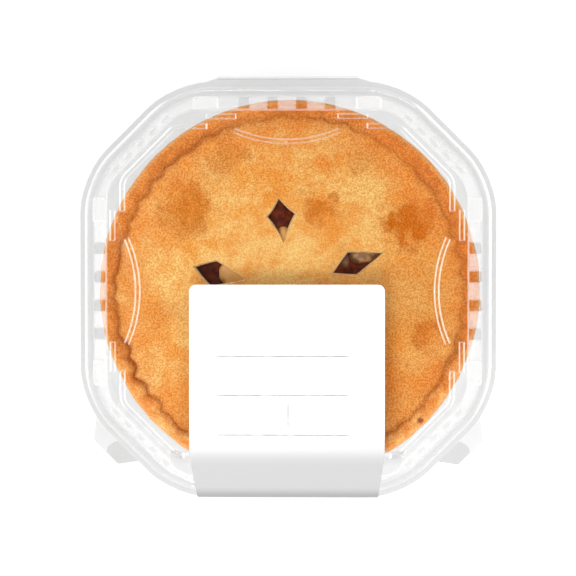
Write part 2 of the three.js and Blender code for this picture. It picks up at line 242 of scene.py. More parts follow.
class PackSettings(bpy.types.PropertyGroup):
    """Sizes and colours of the pack, the label and the tin."""

    sheet: length("Sheet", "Thickness of the clear sheet", 0.0004)
    paper_thickness: length("Paper thickness", "Thickness of the label", 0.00025)
    tint: colour("Tint", "What the thin top of the lid lets through", "fefefe")
    thick_tint: colour("Thick tint", "What the thicker sheet elsewhere lets through", "f9f9f9")
    tab_tint: colour("Tab tint", "What the unstretched sheet of the tabs lets through", "f7f7f7")
    paper: colour("Paper", "Face of the label", "e6e6e6")
    rule: colour("Rule", "Thin ruled lines on the label", "8c8c8c")
    foil: colour("Foil", "Pressed foil of the tin", "d4d6d8")


# Share of light that one face of the sheet reflects, from face on (0) to edge on (1)
SHEET_GLOSS = (
    (0.0, 0.035), (0.17, 0.045), (0.21, 0.21), (0.33, 0.22),
    (0.41, 0.06), (0.6, 0.04), (0.8, 0.09), (1.0, 0.95),
)
# Heights of the clear sheet, in metres from and to: where its wall turns thin and thick again,
# where its top is thin, where its walls turn milky, the ribs' tops, and where it turns shiny
THIN_WALL_START = (0.036, 0.040)
THIN_WALL_END = (0.0548, 0.0540)
THIN_TOP_START = (0.0563, 0.0570)
MILKY_START = (0.033, 0.036)
RIB_TOP_START = (0.0550, 0.0552)
RIB_TOP_END = (0.0563, 0.0560)
SHINY_START = (0.022, 0.031)
# Distance from the nearer of the pack's two middle lines to the wide ribs, and |x| - y at the tabs
WIDE_RIB_START = (0.0335, 0.0345)
TAB_START = (0.1745, 0.1755)

# Height, in metres from and to, at which the apple stands clear of the syrup
DRY_APPLE_START = (0.0396, 0.0424)

# Places on the crust, in metres from its middle: where it turns deeper towards the edge, warmer to the
# right, paler at the front of the edge (painted light), lighter at the outermost turn (painted light from
# below), and more speckled
EDGE_START = (0.060, 0.095)
RIGHT_START = (-0.060, 0.080)
FRONT_LIGHT_START = (-0.020, -0.070)
OUTERMOST_LIGHT_START = (0.0985, 0.1018)
SPECKLED_START = (0.030, 0.070)
# A dark blister on the pressed edge, and how far it reaches
BLISTER = (0.07, -0.0695, 0)
BLISTER_EDGE = (0.0024, 0.0008)
# Tones of the crust beside those in its settings
EDGE_BROWNED = linear("c4702c")
RIGHT_CAST = linear("fbeedc")
FRONT_PAINTED_LIGHT = linear("fcc074")
FRONT_PAINTED_TAN = linear("ee994c")
OUTERMOST_PAINTED_LIGHT = linear("f4b878")
BLISTER_BROWN = linear("8a4020")
SPECK_DARK = linear("a09a80")
SPECK_LIGHT = linear("d4d8e6")

# Lines on the label, in metres: the ruled rows, from and to across, and the short upright mark
RULE_ROWS = (-0.0339, -0.0542, -0.0749)
RULE_SPAN = (-0.0396, 0.0352)
RULE_WIDTH = 0.00052
MARK_X = 0.0006
MARK_SPAN = (-0.0718, -0.0558)
MARK_WIDTH = 0.0005
# Painted shade where the label bends down away from the light, deepening towards its foot: from, to and
# tone
PAINTED_FOLD_SHADES = ((-0.070, -0.092, "b4b4b4"), (-0.104, -0.112, "8e8e8e"))

# The stage: floor glow at the left rear and the right front, the key light, and the camera
FLOOR_SIZE = 16
FLOOR_GLOW = (0.69, 0.80)
GLOW_WAY = (0.9, -0.44, 0)
GLOW_REACH = 0.12
KEY_PLACE = (-0.2, -0.65, 1.0)
KEY_AIM = (0, 0, 0.03)
KEY_SIZE = (0.5, 0.4)
KEY_WATTS = 7.5
CAMERA_AIM = (0.00011, 0.00119, 0.031)
CAMERA_OFFSET = (0.0132, 0.0146, 0.74)
PICTURE_WIDTH = 0.3103
SENSOR = 36


# Working in edit mode


def clear_selection():
    if bpy.context.mode != "OBJECT":
        bpy.ops.object.mode_set(mode="OBJECT")
    bpy.ops.object.select_all(action="DESELECT")


def select(*pieces):
    clear_selection()
    for piece in pieces:
        piece.select_set(True)
    bpy.context.view_layer.objects.active = pieces[0]


def primitive(kind, name, **settings):
    """Adds a primitive by its kind and returns its object."""
    clear_selection()
    getattr(bpy.ops.mesh, f"primitive_{kind}_add")(**settings)
    piece = bpy.context.object
    piece.name = piece.data.name = name
    return piece


@contextmanager
def editing(piece):
    select(piece)
    bpy.ops.object.mode_set(mode="EDIT")
    yield
    bpy.ops.object.mode_set(mode="OBJECT")


def pick(kind, test):
    """Selects the vertices, edges or faces being edited that pass a test."""
    bpy.ops.mesh.select_mode(type=kind)
    bpy.ops.mesh.select_all(action="DESELECT")
    mesh = bpy.context.object.data
    form = bmesh.from_edit_mesh(mesh)
    form.normal_update()
    for part in {"VERT": form.verts, "EDGE": form.edges, "FACE": form.faces}[kind]:
        if not part.hide and test(part):
            part.select_set(True)
    form.select_flush_mode()
    bmesh.update_edit_mesh(mesh)


def shift(x, y, z):
    """Settings of the move that ends an extrude."""
    return {"value": (x, y, z), "orient_type": "GLOBAL"}


def move_vertices(piece, place):
    """Puts each vertex of a finished form where a function of its place says."""
    for vertex in piece.data.vertices:
        vertex.co = place(vertex.co)
    piece.data.update()


def apply(piece, kind, **settings):
    """Adds one modifier and applies it."""
    select(piece)
    modifier = piece.modifiers.new(kind.title(), kind)
    for name, value in settings.items():
        setattr(modifier, name, value)
    bpy.ops.object.modifier_apply(modifier=modifier.name)


def boolean(piece, tool, operation, solver="MANIFOLD", **settings):
    """Joins, cuts or keeps what the tool covers, and deletes the tool."""
    apply(piece, "BOOLEAN", object=tool, operation=operation, solver=solver, **settings)
    bpy.data.objects.remove(tool)


def join(pieces):
    select(*pieces)
    bpy.ops.object.join()
    return pieces[0]


def copy(piece, matrix):
    """A copy with its own mesh, placed by a matrix."""
    twin = piece.copy()
    twin.data = piece.data.copy()
    bpy.context.scene.collection.objects.link(twin)
    twin.data.transform(matrix)
    if matrix.determinant() < 0:
        twin.data.flip_normals()
    return twin


def face_outwards():
    """Turns all faces of the form being edited outwards."""
    bpy.ops.mesh.select_all(action="SELECT")
    bpy.ops.mesh.normals_make_consistent(inside=False)


def mend(piece):
    """Merges doubles and turns all faces outwards."""
    with editing(piece):
        bpy.ops.mesh.select_all(action="SELECT")
        bpy.ops.mesh.remove_doubles(threshold=0.001)
        face_outwards()


def bevel_edges(piece, test, width, segments=3):
    with editing(piece):
        pick("EDGE", test)
        bpy.ops.mesh.bevel(offset=width, segments=segments, affect="EDGES", clamp_overlap=True)


def finish_piece(piece, body, materials, nodes=(), angle=35, x=0.0, level=False):
    """Brings a piece to metres in the CAD frame, smooths it and puts it on its body.

    A level piece keeps its large faces flat to the eye, with the turn of its bends in the small ones.
    """
    select(piece)
    piece.scale = (MM, MM, MM)
    piece.location = (x * MM, PACK_SHIFT_Y, 0)
    bpy.ops.object.transform_apply()
    bpy.ops.object.shade_smooth_by_angle(angle=math.radians(angle))
    if level:
        apply(piece, "WEIGHTED_NORMAL", weight=100, keep_sharp=True)
    for i, material in enumerate(materials):
        if i < len(piece.material_slots):
            piece.material_slots[i].material = material
        else:
            piece.data.materials.append(material)
    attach(piece, body)
    if nodes:
        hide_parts(*nodes)
    return piece


# Outlines and plain forms


def drawn_in(outline, distance):
    return tuple(value - distance for value in outline)


def add_octagon(outline, height):
    """Adds one loop of edges, an octagon with rounded corners, to the mesh being edited."""
    half, diagonal, corner = outline
    bpy.ops.mesh.select_mode(type="VERT")
    bpy.ops.mesh.select_all(action="SELECT")
    bpy.ops.mesh.hide()
    bpy.ops.mesh.primitive_plane_add(size=2 * half, location=(0, 0, height))
    cut = 2 * half - math.sqrt(2) * diagonal
    bpy.ops.mesh.bevel(affect="VERTICES", offset=cut)
    bpy.ops.mesh.select_all(action="SELECT")
    reach = corner * math.tan(EIGHTH / 2)
    bpy.ops.mesh.bevel(affect="VERTICES", offset=reach, segments=CORNER_STEPS)
    bpy.ops.mesh.select_all(action="SELECT")
    bpy.ops.mesh.delete(type="ONLY_FACE")
    bpy.ops.mesh.reveal(select=False)


def octagon_form(name, rings):
    """A closed form through rounded octagons, each (outline, height), no two in a row level."""
    piece = primitive("plane", name)
    with editing(piece):
        bpy.ops.mesh.delete(type="VERT")
        add_octagon(*rings[0])
        for (_, below), (outline, height) in zip(rings, rings[1:]):
            add_octagon(outline, height)

            def open_ring(edge):
                offs = (min(abs(v.co.z - below), abs(v.co.z - height)) for v in edge.verts)
                return not edge.is_manifold and max(offs) < 1e-3

            pick("EDGE", open_ring)
            bpy.ops.mesh.bridge_edge_loops()
        pick("EDGE", lambda edge: edge.is_boundary)
        bpy.ops.mesh.fill_holes(sides=0)
        face_outwards()
    return piece


def block(name, middle, size):
    """A box by its middle and its size."""
    piece = primitive("cube", name, size=1, location=middle, scale=size)
    bpy.ops.object.transform_apply()
    return piece


def draughted_block(name, near, far_low, far_high, low, high, width):
    """A block along +X whose outer face leans, with one reach at its foot and one at its head."""
    far = max(far_low, far_high)
    middle = ((near + far) / 2, 0, (low + high) / 2)
    piece = block(name, middle, (far - near, width, high - low))
    with editing(piece):
        pick("VERT", lambda v: v.co.x > middle[0] and (v.co.z > middle[2]) == (far_high < far_low))
        bpy.ops.transform.translate(value=(-abs(far_high - far_low), 0, 0))
    return piece


def plate(name, outline, low, high, corner=0.0):
    """A flat plate with the given outline, its corners rounded off."""
    piece = primitive("circle", name, vertices=len(outline), fill_type="NGON")
    for vertex, (x, y) in zip(piece.data.vertices, outline):
        vertex.co = (x, y, low)
    with editing(piece):
        bpy.ops.mesh.select_all(action="SELECT")
        if corner:
            bpy.ops.mesh.bevel(affect="VERTICES", offset=corner, segments=3)
            bpy.ops.mesh.select_all(action="SELECT")
        bpy.ops.mesh.extrude_region_move(TRANSFORM_OT_translate=shift(0, 0, high - low))
        face_outwards()
    return piece


def strip(name, path, half_width):
    """A strip across X that is extruded edge by edge through (y, z) points."""
    (y0, z0), (y1, z1) = path[:2]
    piece = primitive("plane", name, size=2)
    for vertex in piece.data.vertices:
        y, z = (y1, z1) if vertex.co.y > 0 else (y0, z0)
        vertex.co = (math.copysign(half_width, vertex.co.x), y, z)
    with editing(piece):
        pick("EDGE", lambda edge: all(abs(v.co.y - y1) + abs(v.co.z - z1) < 1e-3 for v in edge.verts))
        for (ya, za), (yb, zb) in zip(path[1:], path[2:]):
            bpy.ops.mesh.extrude_edges_move(TRANSFORM_OT_translate=shift(0, yb - ya, zb - za))
    return piece


def turned(name, profile, steps):
    """Turns a profile of (radius, height) points round the upright axis."""
    piece = primitive("plane", name)
    with editing(piece):
        bpy.ops.mesh.merge(type="CENTER")
        bpy.ops.transform.translate(value=(profile[0][0], 0, profile[0][1]))
        for (r0, z0), (r1, z1) in zip(profile, profile[1:]):
            bpy.ops.mesh.extrude_vertices_move(TRANSFORM_OT_translate=shift(r1 - r0, 0, z1 - z0))
        bpy.ops.mesh.select_all(action="SELECT")
        bpy.ops.mesh.spin(steps=steps, angle=2 * math.pi, center=(0, 0, 0), axis=(0, 0, 1))
    mend(piece)
    return piece


def smooth_path(points, steps):
    """Points on a Catmull-Rom curve through the given ones, steps to each span."""
    ends = [points[0], *points, points[-1]]
    made = [tuple(points[0])]

    def between(p, q, r, s, t):
        square, cube = 2 * p - 5 * q + 4 * r - s, 3 * q - p - 3 * r + s
        return 0.5 * (2 * q + (r - p) * t + square * t * t + cube * t**3)

    for span in zip(ends, ends[1:], ends[2:], ends[3:]):
        for step in range(1, steps + 1):
            made.append(tuple(between(*values, step / steps) for values in zip(*span)))
    return made


# Materials

SMOOTH = {"interpolation_type": "SMOOTHSTEP"}
WHITE = linear("ffffff")


def node(tree, kind, inputs=(), **settings):
    """Adds a shader node with its settings, and its inputs as values or links.

    Inputs are given in their order, or by number or name. A node among them stands for the first of
    its outputs that is in use.
    """
    made = tree.nodes.new("ShaderNode" + kind)
    for name, value in settings.items():
        setattr(made, name, value)
    for socket, value in inputs.items() if isinstance(inputs, dict) else enumerate(inputs):
        if isinstance(value, bpy.types.Node):
            value = next(output for output in value.outputs if output.enabled)
        if isinstance(value, bpy.types.NodeSocket):
            tree.links.new(value, made.inputs[socket])
        else:
            made.inputs[socket].default_value = value
    return made


def new_material(name):
    """A material without nodes, and the function that adds a node to it."""
    material = bpy.data.materials.new(name)
    material.use_nodes = True
    material.node_tree.nodes.clear()
    return material, partial(node, material.node_tree)


def showing(material, shader):
    """The material once its surface shows a shader."""
    node(material.node_tree, "OutputMaterial", {"Surface": shader})
    return material


def per_mm(size):
    """Texture scale whose features are so many millimetres across."""
    return 1 / (size * MM)


def within(add, *ranges):
    """How far several values all lie within their ranges, from 0 to 1.

    A range is (value, from, to), falling where to is the lower one, and may add its least and most.
    """
    shares = [add("MapRange", values, **SMOOTH) for values in ranges]
    while len(shares) > 1:
        shares[:2] = [add("Math", shares[:2], operation="MULTIPLY")]
    return shares[0]


def clear_sheet(pack):
    """Thermoformed PET sheet: clear face on, glossy where it slants, and greyer where it is thick.

    The sheet is stretched thin over the top and the walls of the lid and stays thick elsewhere.
    Steep walls of the lid are milky, because the eye looks through them lengthwise, and so are the
    tops of the wide ribs. The tray's lower part is less glossy than the lid.
    """
    material, add = new_material("clear_pet_sheet")
    coords = add("TexCoord").outputs
    x, y, height = add("SeparateXYZ", (coords["Object"],)).outputs
    upward = add("SeparateXYZ", (coords["Normal"],)).outputs["Z"]
    off_x, off_y, level = (add("Math", (way,), operation="ABSOLUTE") for way in (x, y, upward))
    slant = add("LayerWeight", {"Blend": 0.5}).outputs["Facing"]

    walls = within(add, (height, *THIN_WALL_START), (height, *THIN_WALL_END))
    top = add("MapRange", (height, *THIN_TOP_START), **SMOOTH)
    thin = add("Math", (walls, top), operation="MAXIMUM")
    tint = add("Mix", {0: thin, 6: pack.thick_tint, 7: pack.tint}, data_type="RGBA")
    corner = add("Math", (off_x, y), operation="SUBTRACT")
    tab = add("MapRange", (corner, *TAB_START), **SMOOTH)
    tint = add("Mix", {0: tab, 6: tint, 7: pack.tab_tint}, data_type="RGBA")

    steep = (level, 0.8, 0.5)
    milky = within(add, (slant, 0.5, 0.68), (slant, 0.74, 0.8, 0.22, 0.09), (height, *MILKY_START), steep)
    nearest = add("Math", (off_x, off_y), operation="MINIMUM")
    rib_top = ((height, *RIB_TOP_START), (height, *RIB_TOP_END, 0.0, 0.2))
    frosted = within(add, (nearest, *WIDE_RIB_START), *rib_top)
    milky = add("Math", (milky, frosted), operation="MAXIMUM")

    mirror = add("FloatCurve", {"Value": slant})
    curve = mirror.mapping.curves[0]
    curve.points[0].location = SHEET_GLOSS[0]
    curve.points[1].location = SHEET_GLOSS[-1]
    for point in SHEET_GLOSS[1:-1]:
        curve.points.new(*point)
    mirror.mapping.update()
    shiny = add("MapRange", (height, *SHINY_START, 0.4, 1.0), **SMOOTH)
    shine = add("Math", (mirror, shiny), operation="MULTIPLY")

    through = add("BsdfTransparent", {"Color": tint})
    haze = add("BsdfDiffuse", {"Color": WHITE})
    gloss = add("BsdfGlossy", {"Color": WHITE, "Roughness": 0.07})
    body = add("MixShader", (milky, through, haze))
    return showing(material, add("MixShader", (shine, body, gloss)))


def pressed_foil(pack):
    """Pressed aluminium foil: bright and satin, with faint dents."""
    material, add = new_material("pressed_foil")
    place = add("TexCoord").outputs["Object"]
    dents = add("TexNoise", {"Vector": place, "Scale": per_mm(6.0), "Detail": 3.0})
    bump = add("Bump", {"Height": dents, "Strength": 0.35, "Distance": 0.6 * MM})
    links = {
        "Base Color": pack.foil,
        "Metallic": 1.0,
        "Roughness": add("MapRange", (dents, 0.3, 0.7, 0.28, 0.42), **SMOOTH),
        "Normal": bump,
    }
    return showing(material, add("BsdfPrincipled", links))


def spiced_syrup(pie):
    """Thick sugar syrup: nearly black brown, wet and glossy, with soft lumps."""
    material, add = new_material("spiced_syrup")
    place = add("TexCoord").outputs["Object"]
    lumps = add("TexNoise", {"Vector": place, "Scale": per_mm(3.5)})
    bump = add("Bump", {"Height": lumps, "Strength": 0.5, "Distance": 1.2 * MM})
    clear = add("MapRange", (lumps, 0.35, 0.7), **SMOOTH)
    links = {
        "Base Color": add("Mix", {0: clear, 6: pie.syrup, 7: pie.thin_syrup}, data_type="RGBA"),
        "Roughness": 0.4,
        "Specular IOR Level": 0.05,
        "Coat Weight": 0.12,
        "Coat Roughness": 0.05,
        "Normal": bump,
    }
    return showing(material, add("BsdfPrincipled", links))


def cooked_apple(pie):
    """Baked apple: soft tan flesh, browner where it lies deep in the syrup."""
    material, add = new_material("cooked_apple")
    place = add("TexCoord").outputs["Object"]
    soaked = add("TexNoise", {"Vector": place, "Scale": per_mm(4.0), "Detail": 3.0})
    fibre = add("TexNoise", {"Vector": place, "Scale": per_mm(0.9)})
    height = add("SeparateXYZ", (place,)).outputs["Z"]
    uneven = add("MapRange", (soaked, 0.3, 0.7, -0.8 * MM, 0.8 * MM), **SMOOTH)
    level = add("Math", (height, uneven), operation="ADD")
    dry = add("MapRange", (level, *DRY_APPLE_START), **SMOOTH)
    links = {
        "Base Color": add("Mix", {0: dry, 6: pie.soaked_fruit, 7: pie.fruit}, data_type="RGBA"),
        "Roughness": 0.45,
        "Specular IOR Level": 0.2,
        "Subsurface Weight": 0.2,
        "Subsurface Radius": (4 * MM, 2 * MM, MM),
        "Coat Weight": 0.1,
        "Normal": add("Bump", {"Height": fibre, "Strength": 0.3, "Distance": 0.3 * MM}),
    }
    return showing(material, add("BsdfPrincipled", links))


def toasted_patches(add, centred, mottle):
    """How far each browner patch covers the crust, with a ragged outline."""
    ragged = add("MapRange", (mottle, 0.3, 0.7, -6 * MM, 6 * MM), **SMOOTH)
    for x, y, reach, strength in TOASTED:
        away = add("VectorMath", (centred, (x * MM, y * MM, 0)), operation="DISTANCE")
        away = add("Math", (away, ragged), operation="ADD")
        yield add("MapRange", (away, reach * MM, 0.3 * reach * MM, 0.0, strength), **SMOOTH)


def edge_layers(add, pie, centred, radius, drift, mottle):
    """How the crust changes towards its edge: layers of (share, colour, way to mix), lowest first."""
    across, back, _ = add("SeparateXYZ", (centred,)).outputs
    rim, fold = (add("Attribute", attribute_name=name).outputs["Fac"] for name in ("rim", "fold"))

    def drifting(value, reach):
        wander = add("MapRange", (drift, 0.3, 0.7, -reach, reach), **SMOOTH)
        return add("Math", (value, wander), operation="ADD")

    def mottled(low, high, first, second):
        share = add("MapRange", (mottle, low, high), **SMOOTH)
        return add("Mix", {0: share, 6: first, 7: second}, data_type="RGBA")

    deeper = add("MapRange", (drifting(radius, 10 * MM), *EDGE_START, 0.0, 0.6), **SMOOTH)
    rolled = add("Math", (rim, 0.75), operation="MULTIPLY")
    right = within(add, (drifting(across, 15 * MM), *RIGHT_START), (rim, 0.0, 1.0, 1.0, 0.7))
    # Painted light: the front of the edge is paler, where light from the front falls on it
    front = add("MapRange", (back, *FRONT_LIGHT_START, 0.0, 0.8), **SMOOTH)
    front = add("Math", (rim, front), operation="MULTIPLY")
    # Painted light: the outermost turn of the edge is paler, where the glowing floor lights it from below
    outermost_lit = add("MapRange", (radius, *OUTERMOST_LIGHT_START, 0.0, 0.7), **SMOOTH)
    # Painted shade along the pressed crease, by how near it is and how deep it is pressed
    painted_crease_shade = add("Math", (fold, 0.8), operation="MULTIPLY")
    blister = add("VectorMath", (centred, BLISTER), operation="DISTANCE")
    blister = add("MapRange", (blister, *BLISTER_EDGE, 0.0, 0.9), **SMOOTH)
    return (
        (deeper, pie.edge, "MIX"),
        (rolled, mottled(0.35, 0.65, pie.edge, EDGE_BROWNED), "MIX"),
        (right, RIGHT_CAST, "MULTIPLY"),
        (front, mottled(0.38, 0.6, FRONT_PAINTED_LIGHT, FRONT_PAINTED_TAN), "MIX"),
        (outermost_lit, OUTERMOST_PAINTED_LIGHT, "MIX"),
        (painted_crease_shade, pie.crease, "MIX"),
        (blister, BLISTER_BROWN, "MIX"),
    )


def baked_crust(pie):
    """Baked shortcrust: golden and finely speckled, toasted in patches and along its edge."""
    material, add = new_material("baked_shortcrust")
    place = add("TexCoord").outputs["Object"]
    to_middle = (-PIE_X * MM, -PACK_SHIFT_Y, 0)
    centred = add("Mapping", {"Vector": place, "Location": to_middle, "Scale": (1, 1, 0)})
    radius = add("VectorMath", (centred,), operation="LENGTH")
    # Uneven heat across the pie, mottling and fine speckle, by the size of their features in mm
    drift, mottle, speck = (
        add("TexNoise", {"Vector": place, "Scale": per_mm(size), "Detail": detail, "Roughness": rough})
        for size, detail, rough in ((30.0, 3.0, 0.5), (9.0, 4.0, 0.6), (0.9, 2.0, 0.6))
    )

    def blended(first, share, second, other):
        weighed = (add("Math", part, operation="MULTIPLY") for part in ((first, share), (second, other)))
        return add("Math", tuple(weighed), operation="ADD")

    golden = add("MapRange", (blended(mottle, 0.5, drift, 0.5), 0.36, 0.64), **SMOOTH)
    base = add("Mix", {0: golden, 6: pie.gold, 7: pie.amber}, data_type="RGBA")
    layers = [(patch, pie.toast, "MIX") for patch in toasted_patches(add, centred, mottle)]
    layers += edge_layers(add, pie, centred, radius, drift, mottle)
    light = add("MapRange", (speck, 0.36, 0.64), **SMOOTH)
    specks = add("Mix", {0: light, 6: SPECK_DARK, 7: SPECK_LIGHT}, data_type="RGBA")
    layers.append((add("MapRange", (radius, *SPECKLED_START, 0.55, 0.85), **SMOOTH), specks, "OVERLAY"))
    for share, tone, blend in layers:
        base = add("Mix", {0: share, 6: base, 7: tone}, data_type="RGBA", blend_type=blend)

    height = blended(speck, 0.35, mottle, 0.65)
    bump = add("Bump", {"Height": height, "Strength": 0.45, "Distance": 0.8 * MM})
    links = {"Base Color": base, "Roughness": 0.8, "Specular IOR Level": 0.15, "Normal": bump}
    return showing(material, add("BsdfPrincipled", links))


def cut_dough(pie):
    """The torn face of the crust at a slit: pale, dry crumb."""
    material, add = new_material("cut_dough")
    place = add("TexCoord").outputs["Object"]
    crumbs = add("TexNoise", {"Vector": place, "Scale": per_mm(1.2), "Detail": 3.0})
    brown = add("MapRange", (crumbs, 0.35, 0.65), **SMOOTH)
    links = {
        "Base Color": add("Mix", {0: brown, 6: pie.crumb, 7: pie.brown_crumb}, data_type="RGBA"),
        "Roughness": 0.8,
        "Specular IOR Level": 0.1,
        "Normal": add("Bump", {"Height": crumbs, "Strength": 0.5, "Distance": 0.5 * MM}),
    }
    return showing(material, add("BsdfPrincipled", links))


def label_paper(pack):
    """Coated label paper: smooth and white, with thin ruled lines, and a painted shade down its fold that
    stands in for the light falling off there.
    """
    material, add = new_material("coated_label_paper")
    coords = add("TexCoord").outputs
    x, y, _ = add("SeparateXYZ", (coords["Object"],)).outputs
    down = add("Math", (y, PACK_SHIFT_Y), operation="SUBTRACT")
    upward = add("SeparateXYZ", (coords["Normal"],)).outputs["Z"]
    patchy = {"Vector": coords["Object"], "Scale": per_mm(7.0), "Detail": 4.0, "Roughness": 0.7}
    wear = add("TexNoise", patchy)

    def stroke(value, middle, width):
        away = add("Math", (value, middle), operation="SUBTRACT")
        away = add("Math", (away,), operation="ABSOLUTE")
        return away, 0.8 * width, 0.2 * width

    def between(value, low, high, fade):
        return (value, low, low + fade), (value, high, high - fade)

    lines = within(add, stroke(x, MARK_X, MARK_WIDTH), *between(down, *MARK_SPAN, 3 * MM))
    for row in RULE_ROWS:
        rule = within(add, stroke(down, row, RULE_WIDTH), *between(x, *RULE_SPAN, 6 * MM))
        lines = add("Math", (lines, rule), operation="MAXIMUM")
    worn = add("MapRange", (wear, 0.3, 0.6, 0.45, 1.0), **SMOOTH)
    lines = add("Math", (lines, worn), operation="MULTIPLY")
    face = pack.paper
    # Painted shade: the outer face greys down the fold, where less light falls on it
    for start, end, tone in PAINTED_FOLD_SHADES:
        shaded = add("MapRange", (down, start, end), **SMOOTH)
        face = add("Mix", {0: shaded, 6: face, 7: linear(tone)}, data_type="RGBA")
    face = add("Mix", {0: lines, 6: face, 7: pack.rule}, data_type="RGBA")
    outer = add("MapRange", (upward, -0.1, 0.1), **SMOOTH)
    links = {
        "Base Color": add("Mix", {0: outer, 6: pack.paper, 7: face}, data_type="RGBA"),
        "Roughness": 0.45,
        "Specular IOR Level": 0.3,
    }
    return showing(material, add("BsdfPrincipled", links))


# The clear pack


def turn_to(angle):
    return Matrix.Rotation(angle, 4, "Z")


def rib_set(side_rib, corner_rib, sides):
    """Copies one side rib and one corner rib to all their places and joins them."""
    made = []
    wide = Matrix.Diagonal((1, WIDE_RIB, 1, 1))
    for side in sides:
        turned_side = turn_to(side * EIGHTH)
        for along in RIB_ROWS:
            made.append(copy(side_rib, turned_side @ Matrix.Translation((0, along, 0))))
        for along in END_RIB_ROWS:
            made.append(copy(side_rib, turned_side @ Matrix.Translation((0, along, 0)) @ wide))
    for side in (1, 3, 5, 7):
        for along in CORNER_RIB_ROWS:
            made.append(copy(corner_rib, turn_to(side * EIGHTH) @ Matrix.Translation((0, along, 0))))
    for rib in (side_rib, corner_rib):
        bpy.data.objects.remove(rib)
    return join(made)


def round_outer_edges(rib, near, end):
    """Rounds the upright outer edges of a rib, and its outer edges at the height of one end."""

    def upright(edge):
        a, b = (v.co for v in edge.verts)
        return min(a.x, b.x) > near and abs(a.z - b.z) > 2

    bevel_edges(rib, upright, RIB_ROUND, 6)

    def level(edge):
        a, b = (v.co for v in edge.verts)
        at_end = abs(a.z - b.z) < 0.01 and abs(a.z - end) < 0.01
        return at_end and len(edge.link_faces) == 2 and max(a.x, b.x) > near

    bevel_edges(rib, level, RIB_ROUND * 0.55, 5)


def lid_ribs():
    foot = LID_FLANGE_Z - 0.5
    side = draughted_block("side_rib", 80, 103.4, 101.6, foot, RIB_TOP_Z, RIB_WIDTH)
    round_outer_edges(side, 90, RIB_TOP_Z)
    corner = draughted_block("corner_rib", 95, 115.2, 110.4, foot, CORNER_RIB_TOP_Z, CORNER_RIB_WIDTH)
    round_outer_edges(corner, 105, CORNER_RIB_TOP_Z)
    return rib_set(side, corner, (0, 2, 4))


def tray_ribs():
    side = draughted_block("tray_rib", 80, 96.5, 103.2, TRAY_BEND_Z, 27.7, RIB_WIDTH)
    round_outer_edges(side, 90, TRAY_BEND_Z)
    corner = draughted_block("tray_corner_rib", 90, 106.0, 113.0, TRAY_BEND_Z, 26.7, CORNER_RIB_WIDTH)
    round_outer_edges(corner, 100, TRAY_BEND_Z)
    return rib_set(side, corner, (0, 2, 4, 6))


def corner_bead(start_x, start_y):
    """The bent bead of the right rear corner, with legs that start at the given places."""
    outline = drawn_in(CORNER_BEAD, -BEAD_WIDTH / 2)
    inner = drawn_in(outline, BEAD_WIDTH)
    foot, top = LID_TOP_Z + BEAD_FOOT, LID_TOP_Z + BEAD_HEIGHT
    rings = [(outline, LID_TOP_Z - BEAD_ROOT), (outline, foot), (drawn_in(outline, BEAD_OUT), top)]
    bead = octagon_form("corner_bead", rings)
    rings = [(inner, LID_TOP_Z - 2), (inner, foot), (drawn_in(inner, -BEAD_IN), top)]
    rings.append((drawn_in(inner, -2 * BEAD_IN), 2 * top - foot))
    boolean(bead, octagon_form("bead_hole", rings), "DIFFERENCE")
    ends = ((start_x, 0, foot), (1, 0, -END_SLOPE)), ((0, start_y, foot), (0, 1, -END_SLOPE))
    with editing(bead):
        for place, across in ends:
            bpy.ops.mesh.select_all(action="SELECT")
            bpy.ops.mesh.bisect(plane_co=place, plane_no=across, use_fill=True, clear_inner=True)
        face_outwards()
    return bead


def round_top(bead):
    """Softens the upper edges of a bead."""
    top = max(v.co.z for v in bead.data.vertices)

    def upper(edge):
        return all(v.co.z > top - 0.01 for v in edge.verts) and edge.calc_face_angle(0) > 0.6

    bevel_edges(bead, upper, 0.15)


def bar(name, x, y, across, along):
    """A straight bead whose sides slope up to its narrower top."""
    low = LID_TOP_Z - BEAD_ROOT
    size = (across, along, BEAD_FOOT + BEAD_ROOT)
    bead = block(name, (x, y, low + size[2] / 2), size)
    with editing(bead):
        pick("FACE", lambda face: face.normal.z > 0.9)
        bpy.ops.mesh.extrude_region_move(TRANSFORM_OT_translate=shift(0, 0, BEAD_HEIGHT - BEAD_FOOT))
        narrower = 1 - (BEAD_OUT + BEAD_IN) / across
        shorter = 1 - 2 * BEAD_IN / along if along > across else 1
        bpy.ops.transform.resize(value=(narrower, shorter, 1), center_override=(x, y, 0))
        bpy.ops.transform.translate(value=((BEAD_IN - BEAD_OUT) / 2, 0, 0))
    return bead


def arc_bead():
    """A bead spun along an arc that bulges towards the middle of the lid."""
    middle, rise, half_chord = ARC_BEAD
    radius = (half_chord**2 + rise**2) / (2 * rise)
    sweep = math.asin(half_chord / radius)
    bead = bar("arc_bead", middle, 0, 3.1, 0.2)
    centre = (middle + radius, 0, 0)
    with editing(bead):
        pick("FACE", lambda face: face.normal.y > 0.9)
        bpy.ops.mesh.spin(steps=10, angle=-sweep, center=centre, axis=(0, 0, 1))
        pick("FACE", lambda face: face.normal.y < -0.9 and face.calc_center_median().y < 0)
        bpy.ops.mesh.spin(steps=10, angle=sweep, center=centre, axis=(0, 0, 1))
    mend(bead)
    round_top(bead)
    return bead


def lid_beads():
    rear = corner_bead(41.5, 41.5)
    round_top(rear)
    front = corner_bead(54.0, 41.5)
    round_top(front)
    flip_x = Matrix.Diagonal((-1, 1, 1, 1))
    flip_y = Matrix.Diagonal((1, -1, 1, 1))
    beads = [rear, copy(rear, flip_x), copy(front, flip_y), copy(front, flip_x @ flip_y)]
    bpy.data.objects.remove(front)

    short = bar("bar_bead", 90.8, 34.2, BEAD_WIDTH, 16.2)
    round_top(short)
    arc = arc_bead()
    for side in (0, 2, 4):
        turned_side = turn_to(side * EIGHTH)
        beads += [copy(arc, turned_side), copy(short, turned_side), copy(short, turned_side @ flip_y)]
    for source in (short, arc):
        bpy.data.objects.remove(source)
    return join(beads)


